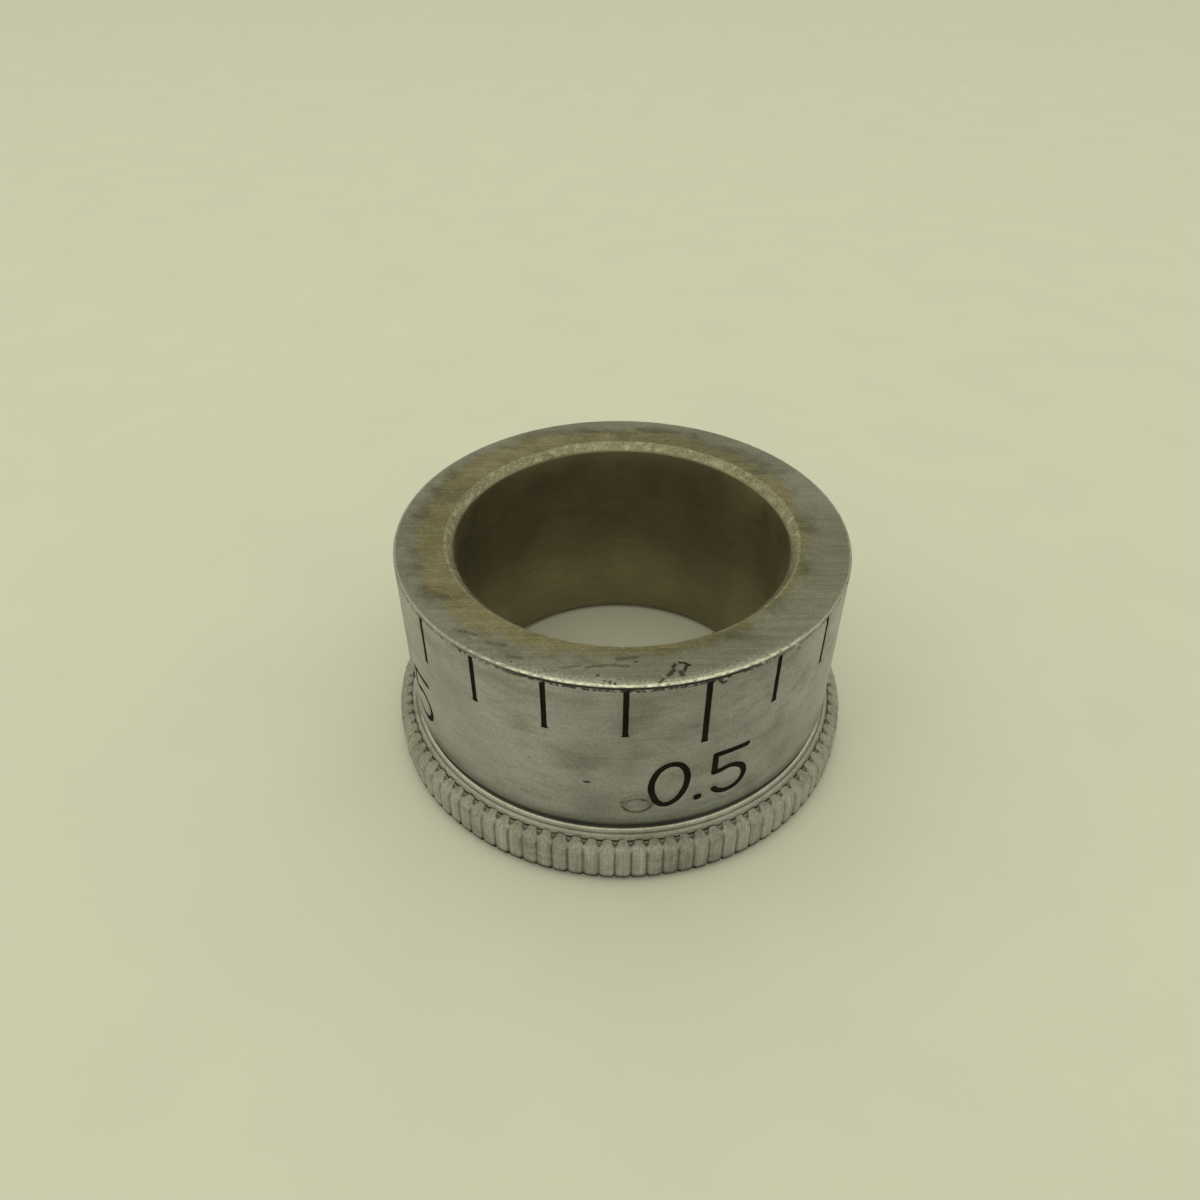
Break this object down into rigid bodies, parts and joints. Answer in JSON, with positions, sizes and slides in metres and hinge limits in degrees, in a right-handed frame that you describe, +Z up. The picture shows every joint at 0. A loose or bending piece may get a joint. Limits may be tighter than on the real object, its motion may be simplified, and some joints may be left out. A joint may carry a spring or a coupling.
{
  "type": "graduated collar",
  "caption": "Short steel dial ring with a plain through bore, engraved black-filled graduation lines and numerals, and a knurled flange.",
  "frame": {"origin": "centre of the bore at the base face, which is the underside of the knurled flange", "axes": "+Z up along the bore axis, from the knurled flange to the plain rim. The zero mark faces +Y, the 0.25 mark -X, the 0.5 mark -Y and the 0.75 mark +X"},
  "size_m": [0.026, 0.026, 0.0128],
  "materials": {
    "steel": "satin turned steel, worn bright at the rim, with brown stains and small pits",
    "paint": "matte black engraving paint"
  },
  "bodies": {
    "root": {"graduated_collar": "steel", "line_fill_00": "paint", "line_fill_05": "paint", "line_fill_10": "paint", "line_fill_15": "paint", "line_fill_20": "paint", "line_fill_25": "paint", "line_fill_30": "paint", "line_fill_35": "paint", "line_fill_40": "paint", "line_fill_45": "paint", "line_fill_50": "paint", "line_fill_55": "paint", "line_fill_60": "paint", "line_fill_65": "paint", "line_fill_70": "paint", "line_fill_75": "paint", "line_fill_80": "paint", "line_fill_85": "paint", "line_fill_90": "paint", "line_fill_95": "paint", "numeral_0_digit_0": "paint", "numeral_025_digit_0": "paint", "numeral_025_point": "paint", "numeral_025_digit_2": "paint", "numeral_025_digit_5": "paint", "numeral_05_digit_0": "paint", "numeral_05_point": "paint", "numeral_05_digit_5": "paint", "numeral_075_digit_0": "paint", "numeral_075_point": "paint", "numeral_075_digit_7": "paint", "numeral_075_digit_5": "paint"}
  },
  "joints": []
}
